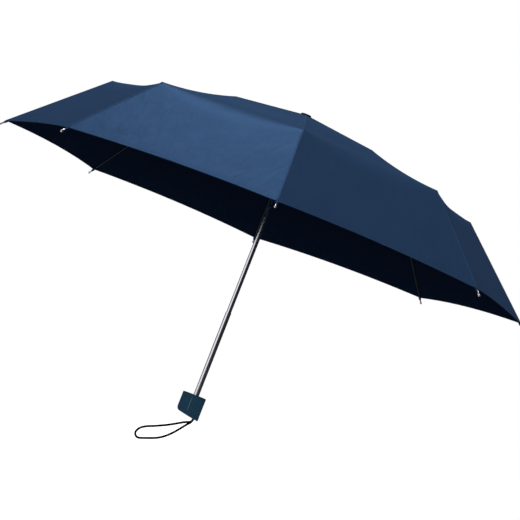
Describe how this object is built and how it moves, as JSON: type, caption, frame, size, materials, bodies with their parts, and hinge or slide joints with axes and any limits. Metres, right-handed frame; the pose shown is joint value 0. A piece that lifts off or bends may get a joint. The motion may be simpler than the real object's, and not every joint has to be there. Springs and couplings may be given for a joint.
{
  "type": "folding umbrella",
  "caption": "Hand-opened folding umbrella: round canopy on a jointed rib frame, telescoping shaft, short grip with a slanted foot and a wrist strap.",
  "frame": {"origin": "middle of the grip's straight wall, on the grip's own axis", "axes": "+Z along the shaft from the grip to the cap, -Y towards rib 1 at the front, +X towards the grip's long side"},
  "size_m": [1.0004, 1.0004, 0.6434],
  "materials": {
    "cloth": "plain-woven waterproof navy cloth",
    "handle_plastic": "smooth satin dark teal-navy plastic",
    "strap_cord": "braided near-black cord",
    "bright_tube": "polished plated steel tube",
    "spring_steel": "plain spring steel",
    "dark_steel": "black lacquered steel",
    "bright_wire": "drawn steel wire",
    "black_plastic": "moulded black plastic"
  },
  "bodies": {
    "handle": {"handle_shell": "handle_plastic", "wrist_strap": "strap_cord", "bottom_tube": "bright_tube"},
    "middle_tube": {"middle_tube": "bright_tube", "lower_detent": "spring_steel"},
    "top_tube": {"top_tube": "bright_tube", "upper_detent": "spring_steel", "crown": "black_plastic", "top_cap": "black_plastic", "canopy": "cloth"},
    "runner_catch": {"runner_catch": "spring_steel"},
    "runner": {"runner": "black_plastic"},
    "inner_rib_1": {"inner_rib_1": "dark_steel"},
    "stretcher_1": {"stretcher_1": "dark_steel"},
    "middle_rib_1": {"middle_rib_1": "dark_steel"},
    "outer_rib_1": {"outer_rib_1": "dark_steel"},
    "inner_link_1": {"inner_link_1": "bright_wire"},
    "outer_link_1": {"outer_link_1": "bright_wire"},
    "inner_rib_2": {"inner_rib_2": "dark_steel"},
    "stretcher_2": {"stretcher_2": "dark_steel"},
    "middle_rib_2": {"middle_rib_2": "dark_steel"},
    "outer_rib_2": {"outer_rib_2": "dark_steel"},
    "inner_link_2": {"inner_link_2": "bright_wire"},
    "outer_link_2": {"outer_link_2": "bright_wire"},
    "inner_rib_3": {"inner_rib_3": "dark_steel"},
    "stretcher_3": {"stretcher_3": "dark_steel"},
    "middle_rib_3": {"middle_rib_3": "dark_steel"},
    "outer_rib_3": {"outer_rib_3": "dark_steel"},
    "inner_link_3": {"inner_link_3": "bright_wire"},
    "outer_link_3": {"outer_link_3": "bright_wire"},
    "inner_rib_4": {"inner_rib_4": "dark_steel"},
    "stretcher_4": {"stretcher_4": "dark_steel"},
    "middle_rib_4": {"middle_rib_4": "dark_steel"},
    "outer_rib_4": {"outer_rib_4": "dark_steel"},
    "inner_link_4": {"inner_link_4": "bright_wire"},
    "outer_link_4": {"outer_link_4": "bright_wire"},
    "inner_rib_5": {"inner_rib_5": "dark_steel"},
    "stretcher_5": {"stretcher_5": "dark_steel"},
    "middle_rib_5": {"middle_rib_5": "dark_steel"},
    "outer_rib_5": {"outer_rib_5": "dark_steel"},
    "inner_link_5": {"inner_link_5": "bright_wire"},
    "outer_link_5": {"outer_link_5": "bright_wire"},
    "inner_rib_6": {"inner_rib_6": "dark_steel"},
    "stretcher_6": {"stretcher_6": "dark_steel"},
    "middle_rib_6": {"middle_rib_6": "dark_steel"},
    "outer_rib_6": {"outer_rib_6": "dark_steel"},
    "inner_link_6": {"inner_link_6": "bright_wire"},
    "outer_link_6": {"outer_link_6": "bright_wire"},
    "inner_rib_7": {"inner_rib_7": "dark_steel"},
    "stretcher_7": {"stretcher_7": "dark_steel"},
    "middle_rib_7": {"middle_rib_7": "dark_steel"},
    "outer_rib_7": {"outer_rib_7": "dark_steel"},
    "inner_link_7": {"inner_link_7": "bright_wire"},
    "outer_link_7": {"outer_link_7": "bright_wire"},
    "inner_rib_8": {"inner_rib_8": "dark_steel"},
    "stretcher_8": {"stretcher_8": "dark_steel"},
    "middle_rib_8": {"middle_rib_8": "dark_steel"},
    "outer_rib_8": {"outer_rib_8": "dark_steel"},
    "inner_link_8": {"inner_link_8": "bright_wire"},
    "outer_link_8": {"outer_link_8": "bright_wire"}
  },
  "joints": [
    {"name": "lower_slide", "type": "slide", "parent": "handle", "child": "middle_tube", "axis": [0, 0, 1], "range_m": [-0.158, 0], "deforming": ["lower_detent"]},
    {"name": "upper_slide", "type": "slide", "parent": "middle_tube", "child": "top_tube", "axis": [0, 0, 1], "range_m": [-0.1525, 0], "deforming": ["upper_detent"]},
    {"name": "catch_press", "type": "slide", "parent": "top_tube", "child": "runner_catch", "axis": [0, 1, 0], "range_m": [0, 0.0023], "stiffness_N_per_m": 400},
    {"name": "frame_fold", "type": "hinge", "parent": "top_tube", "child": "inner_rib_1", "pos_m": [0.0025, -0.00895, 0.5445], "axis": [1, 0, 0], "range_deg": [0, 76.9], "deforming": ["canopy", "runner_catch"]},
    {"name": "stretcher_fold_1", "type": "hinge", "parent": "inner_rib_1", "child": "stretcher_1", "pos_m": [0.0025, -0.08267, 0.5307], "axis": [1, 0, 0], "range_deg": [-153.95, 0]},
    {"name": "middle_rib_fold_1", "type": "hinge", "parent": "inner_rib_1", "child": "middle_rib_1", "pos_m": [0.0025, -0.17602, 0.51578], "axis": [1, 0, 0], "range_deg": [-179.08, 0]},
    {"name": "outer_rib_fold_1", "type": "hinge", "parent": "middle_rib_1", "child": "outer_rib_1", "pos_m": [0.0025, -0.34145, 0.47642], "axis": [1, 0, 0], "range_deg": [0, 146.65]},
    {"name": "inner_link_turn_1", "type": "hinge", "parent": "stretcher_1", "child": "inner_link_1", "pos_m": [0.0025, -0.08767, 0.53076], "axis": [1, 0, 0], "range_deg": [0, 153.95]},
    {"name": "outer_link_turn_1", "type": "hinge", "parent": "inner_rib_1", "child": "outer_link_1", "pos_m": [0.0025, -0.17514, 0.51187], "axis": [1, 0, 0], "range_deg": [-179.81, 0]},
    {"name": "runner_level_1", "type": "hinge", "parent": "stretcher_1", "child": "runner", "pos_m": [0.0025, -0.00895, 0.51691], "axis": [1, 0, 0], "range_deg": [0, 76.98]},
    {"name": "inner_rib_fold_2", "type": "hinge", "parent": "top_tube", "child": "inner_rib_2", "pos_m": [0.00883, -0.00633, 0.5445], "axis": [0.7071, 0.7071, 0], "range_deg": [0, 76.9]},
    {"name": "stretcher_fold_2", "type": "hinge", "parent": "inner_rib_2", "child": "stretcher_2", "pos_m": [0.06096, -0.05846, 0.5307], "axis": [0.7071, 0.7071, 0], "range_deg": [-153.95, 0]},
    {"name": "middle_rib_fold_2", "type": "hinge", "parent": "inner_rib_2", "child": "middle_rib_2", "pos_m": [0.12696, -0.12446, 0.51578], "axis": [0.7071, 0.7071, 0], "range_deg": [-179.08, 0]},
    {"name": "outer_rib_fold_2", "type": "hinge", "parent": "middle_rib_2", "child": "outer_rib_2", "pos_m": [0.24394, -0.24144, 0.47642], "axis": [0.7071, 0.7071, 0], "range_deg": [0, 146.65]},
    {"name": "inner_link_turn_2", "type": "hinge", "parent": "stretcher_2", "child": "inner_link_2", "pos_m": [0.06449, -0.06199, 0.53076], "axis": [0.7071, 0.7071, 0], "range_deg": [0, 153.95]},
    {"name": "outer_link_turn_2", "type": "hinge", "parent": "inner_rib_2", "child": "outer_link_2", "pos_m": [0.12635, -0.12385, 0.51187], "axis": [0.7071, 0.7071, 0], "range_deg": [-179.81, 0]},
    {"name": "inner_rib_fold_3", "type": "hinge", "parent": "top_tube", "child": "inner_rib_3", "pos_m": [0.01145, 0, 0.5445], "axis": [0, 1, 0], "range_deg": [0, 76.9]},
    {"name": "stretcher_fold_3", "type": "hinge", "parent": "inner_rib_3", "child": "stretcher_3", "pos_m": [0.08517, 0, 0.5307], "axis": [0, 1, 0], "range_deg": [-153.95, 0]},
    {"name": "middle_rib_fold_3", "type": "hinge", "parent": "inner_rib_3", "child": "middle_rib_3", "pos_m": [0.17852, 0, 0.51578], "axis": [0, 1, 0], "range_deg": [-179.08, 0]},
    {"name": "outer_rib_fold_3", "type": "hinge", "parent": "middle_rib_3", "child": "outer_rib_3", "pos_m": [0.34395, 0, 0.47642], "axis": [0, 1, 0], "range_deg": [0, 146.65]},
    {"name": "inner_link_turn_3", "type": "hinge", "parent": "stretcher_3", "child": "inner_link_3", "pos_m": [0.09017, 0, 0.53076], "axis": [0, 1, 0], "range_deg": [0, 153.95]},
    {"name": "outer_link_turn_3", "type": "hinge", "parent": "inner_rib_3", "child": "outer_link_3", "pos_m": [0.17764, 0, 0.51187], "axis": [0, 1, 0], "range_deg": [-179.81, 0]},
    {"name": "inner_rib_fold_4", "type": "hinge", "parent": "top_tube", "child": "inner_rib_4", "pos_m": [0.00883, 0.00633, 0.5445], "axis": [-0.7071, 0.7071, 0], "range_deg": [0, 76.9]},
    {"name": "stretcher_fold_4", "type": "hinge", "parent": "inner_rib_4", "child": "stretcher_4", "pos_m": [0.06096, 0.05846, 0.5307], "axis": [-0.7071, 0.7071, 0], "range_deg": [-153.95, 0]},
    {"name": "middle_rib_fold_4", "type": "hinge", "parent": "inner_rib_4", "child": "middle_rib_4", "pos_m": [0.12696, 0.12446, 0.51578], "axis": [-0.7071, 0.7071, 0], "range_deg": [-179.08, 0]},
    {"name": "outer_rib_fold_4", "type": "hinge", "parent": "middle_rib_4", "child": "outer_rib_4", "pos_m": [0.24394, 0.24144, 0.47642], "axis": [-0.7071, 0.7071, 0], "range_deg": [0, 146.65]},
    {"name": "inner_link_turn_4", "type": "hinge", "parent": "stretcher_4", "child": "inner_link_4", "pos_m": [0.06449, 0.06199, 0.53076], "axis": [-0.7071, 0.7071, 0], "range_deg": [0, 153.95]},
    {"name": "outer_link_turn_4", "type": "hinge", "parent": "inner_rib_4", "child": "outer_link_4", "pos_m": [0.12635, 0.12385, 0.51187], "axis": [-0.7071, 0.7071, 0], "range_deg": [-179.81, 0]},
    {"name": "inner_rib_fold_5", "type": "hinge", "parent": "top_tube", "child": "inner_rib_5", "pos_m": [0.0025, 0.00895, 0.5445], "axis": [-1, 0, 0], "range_deg": [0, 76.9]},
    {"name": "stretcher_fold_5", "type": "hinge", "parent": "inner_rib_5", "child": "stretcher_5", "pos_m": [0.0025, 0.08267, 0.5307], "axis": [-1, 0, 0], "range_deg": [-153.95, 0]},
    {"name": "middle_rib_fold_5", "type": "hinge", "parent": "inner_rib_5", "child": "middle_rib_5", "pos_m": [0.0025, 0.17602, 0.51578], "axis": [-1, 0, 0], "range_deg": [-179.08, 0]},
    {"name": "outer_rib_fold_5", "type": "hinge", "parent": "middle_rib_5", "child": "outer_rib_5", "pos_m": [0.0025, 0.34145, 0.47642], "axis": [-1, 0, 0], "range_deg": [0, 146.65]},
    {"name": "inner_link_turn_5", "type": "hinge", "parent": "stretcher_5", "child": "inner_link_5", "pos_m": [0.0025, 0.08767, 0.53076], "axis": [-1, 0, 0], "range_deg": [0, 153.95]},
    {"name": "outer_link_turn_5", "type": "hinge", "parent": "inner_rib_5", "child": "outer_link_5", "pos_m": [0.0025, 0.17514, 0.51187], "axis": [-1, 0, 0], "range_deg": [-179.81, 0]},
    {"name": "inner_rib_fold_6", "type": "hinge", "parent": "top_tube", "child": "inner_rib_6", "pos_m": [-0.00383, 0.00633, 0.5445], "axis": [-0.7071, -0.7071, 0], "range_deg": [0, 76.9]},
    {"name": "stretcher_fold_6", "type": "hinge", "parent": "inner_rib_6", "child": "stretcher_6", "pos_m": [-0.05596, 0.05846, 0.5307], "axis": [-0.7071, -0.7071, 0], "range_deg": [-153.95, 0]},
    {"name": "middle_rib_fold_6", "type": "hinge", "parent": "inner_rib_6", "child": "middle_rib_6", "pos_m": [-0.12196, 0.12446, 0.51578], "axis": [-0.7071, -0.7071, 0], "range_deg": [-179.08, 0]},
    {"name": "outer_rib_fold_6", "type": "hinge", "parent": "middle_rib_6", "child": "outer_rib_6", "pos_m": [-0.23894, 0.24144, 0.47642], "axis": [-0.7071, -0.7071, 0], "range_deg": [0, 146.65]},
    {"name": "inner_link_turn_6", "type": "hinge", "parent": "stretcher_6", "child": "inner_link_6", "pos_m": [-0.05949, 0.06199, 0.53076], "axis": [-0.7071, -0.7071, 0], "range_deg": [0, 153.95]},
    {"name": "outer_link_turn_6", "type": "hinge", "parent": "inner_rib_6", "child": "outer_link_6", "pos_m": [-0.12135, 0.12385, 0.51187], "axis": [-0.7071, -0.7071, 0], "range_deg": [-179.81, 0]},
    {"name": "inner_rib_fold_7", "type": "hinge", "parent": "top_tube", "child": "inner_rib_7", "pos_m": [-0.00645, 0, 0.5445], "axis": [0, -1, 0], "range_deg": [0, 76.9]},
    {"name": "stretcher_fold_7", "type": "hinge", "parent": "inner_rib_7", "child": "stretcher_7", "pos_m": [-0.08017, 0, 0.5307], "axis": [0, -1, 0], "range_deg": [-153.95, 0]},
    {"name": "middle_rib_fold_7", "type": "hinge", "parent": "inner_rib_7", "child": "middle_rib_7", "pos_m": [-0.17352, 0, 0.51578], "axis": [0, -1, 0], "range_deg": [-179.08, 0]},
    {"name": "outer_rib_fold_7", "type": "hinge", "parent": "middle_rib_7", "child": "outer_rib_7", "pos_m": [-0.33895, 0, 0.47642], "axis": [0, -1, 0], "range_deg": [0, 146.65]},
    {"name": "inner_link_turn_7", "type": "hinge", "parent": "stretcher_7", "child": "inner_link_7", "pos_m": [-0.08517, 0, 0.53076], "axis": [0, -1, 0], "range_deg": [0, 153.95]},
    {"name": "outer_link_turn_7", "type": "hinge", "parent": "inner_rib_7", "child": "outer_link_7", "pos_m": [-0.17264, 0, 0.51187], "axis": [0, -1, 0], "range_deg": [-179.81, 0]},
    {"name": "inner_rib_fold_8", "type": "hinge", "parent": "top_tube", "child": "inner_rib_8", "pos_m": [-0.00383, -0.00633, 0.5445], "axis": [0.7071, -0.7071, 0], "range_deg": [0, 76.9]},
    {"name": "stretcher_fold_8", "type": "hinge", "parent": "inner_rib_8", "child": "stretcher_8", "pos_m": [-0.05596, -0.05846, 0.5307], "axis": [0.7071, -0.7071, 0], "range_deg": [-153.95, 0]},
    {"name": "middle_rib_fold_8", "type": "hinge", "parent": "inner_rib_8", "child": "middle_rib_8", "pos_m": [-0.12196, -0.12446, 0.51578], "axis": [0.7071, -0.7071, 0], "range_deg": [-179.08, 0]},
    {"name": "outer_rib_fold_8", "type": "hinge", "parent": "middle_rib_8", "child": "outer_rib_8", "pos_m": [-0.23894, -0.24144, 0.47642], "axis": [0.7071, -0.7071, 0], "range_deg": [0, 146.65]},
    {"name": "inner_link_turn_8", "type": "hinge", "parent": "stretcher_8", "child": "inner_link_8", "pos_m": [-0.05949, -0.06199, 0.53076], "axis": [0.7071, -0.7071, 0], "range_deg": [0, 153.95]},
    {"name": "outer_link_turn_8", "type": "hinge", "parent": "inner_rib_8", "child": "outer_link_8", "pos_m": [-0.12135, -0.12385, 0.51187], "axis": [0.7071, -0.7071, 0], "range_deg": [-179.81, 0]}
  ],
  "couplings": [
    {"joint": "stretcher_fold_1", "follows": "frame_fold", "ratio": -2},
    {"joint": "middle_rib_fold_1", "follows": "frame_fold", "ratio": -2.3264},
    {"joint": "outer_rib_fold_1", "follows": "frame_fold", "ratio": 1.9051},
    {"joint": "inner_link_turn_1", "follows": "frame_fold", "ratio": 2},
    {"joint": "outer_link_turn_1", "follows": "frame_fold", "ratio": -2.3359},
    {"joint": "runner_level_1", "follows": "frame_fold", "ratio": 1},
    {"joint": "inner_rib_fold_2", "follows": "frame_fold", "ratio": 1},
    {"joint": "stretcher_fold_2", "follows": "frame_fold", "ratio": -2},
    {"joint": "middle_rib_fold_2", "follows": "frame_fold", "ratio": -2.3264},
    {"joint": "outer_rib_fold_2", "follows": "frame_fold", "ratio": 1.9051},
    {"joint": "inner_link_turn_2", "follows": "frame_fold", "ratio": 2},
    {"joint": "outer_link_turn_2", "follows": "frame_fold", "ratio": -2.3359},
    {"joint": "inner_rib_fold_3", "follows": "frame_fold", "ratio": 1},
    {"joint": "stretcher_fold_3", "follows": "frame_fold", "ratio": -2},
    {"joint": "middle_rib_fold_3", "follows": "frame_fold", "ratio": -2.3264},
    {"joint": "outer_rib_fold_3", "follows": "frame_fold", "ratio": 1.9051},
    {"joint": "inner_link_turn_3", "follows": "frame_fold", "ratio": 2},
    {"joint": "outer_link_turn_3", "follows": "frame_fold", "ratio": -2.3359},
    {"joint": "inner_rib_fold_4", "follows": "frame_fold", "ratio": 1},
    {"joint": "stretcher_fold_4", "follows": "frame_fold", "ratio": -2},
    {"joint": "middle_rib_fold_4", "follows": "frame_fold", "ratio": -2.3264},
    {"joint": "outer_rib_fold_4", "follows": "frame_fold", "ratio": 1.9051},
    {"joint": "inner_link_turn_4", "follows": "frame_fold", "ratio": 2},
    {"joint": "outer_link_turn_4", "follows": "frame_fold", "ratio": -2.3359},
    {"joint": "inner_rib_fold_5", "follows": "frame_fold", "ratio": 1},
    {"joint": "stretcher_fold_5", "follows": "frame_fold", "ratio": -2},
    {"joint": "middle_rib_fold_5", "follows": "frame_fold", "ratio": -2.3264},
    {"joint": "outer_rib_fold_5", "follows": "frame_fold", "ratio": 1.9051},
    {"joint": "inner_link_turn_5", "follows": "frame_fold", "ratio": 2},
    {"joint": "outer_link_turn_5", "follows": "frame_fold", "ratio": -2.3359},
    {"joint": "inner_rib_fold_6", "follows": "frame_fold", "ratio": 1},
    {"joint": "stretcher_fold_6", "follows": "frame_fold", "ratio": -2},
    {"joint": "middle_rib_fold_6", "follows": "frame_fold", "ratio": -2.3264},
    {"joint": "outer_rib_fold_6", "follows": "frame_fold", "ratio": 1.9051},
    {"joint": "inner_link_turn_6", "follows": "frame_fold", "ratio": 2},
    {"joint": "outer_link_turn_6", "follows": "frame_fold", "ratio": -2.3359},
    {"joint": "inner_rib_fold_7", "follows": "frame_fold", "ratio": 1},
    {"joint": "stretcher_fold_7", "follows": "frame_fold", "ratio": -2},
    {"joint": "middle_rib_fold_7", "follows": "frame_fold", "ratio": -2.3264},
    {"joint": "outer_rib_fold_7", "follows": "frame_fold", "ratio": 1.9051},
    {"joint": "inner_link_turn_7", "follows": "frame_fold", "ratio": 2},
    {"joint": "outer_link_turn_7", "follows": "frame_fold", "ratio": -2.3359},
    {"joint": "inner_rib_fold_8", "follows": "frame_fold", "ratio": 1},
    {"joint": "stretcher_fold_8", "follows": "frame_fold", "ratio": -2},
    {"joint": "middle_rib_fold_8", "follows": "frame_fold", "ratio": -2.3264},
    {"joint": "outer_rib_fold_8", "follows": "frame_fold", "ratio": 1.9051},
    {"joint": "inner_link_turn_8", "follows": "frame_fold", "ratio": 2},
    {"joint": "outer_link_turn_8", "follows": "frame_fold", "ratio": -2.3359}
  ]
}
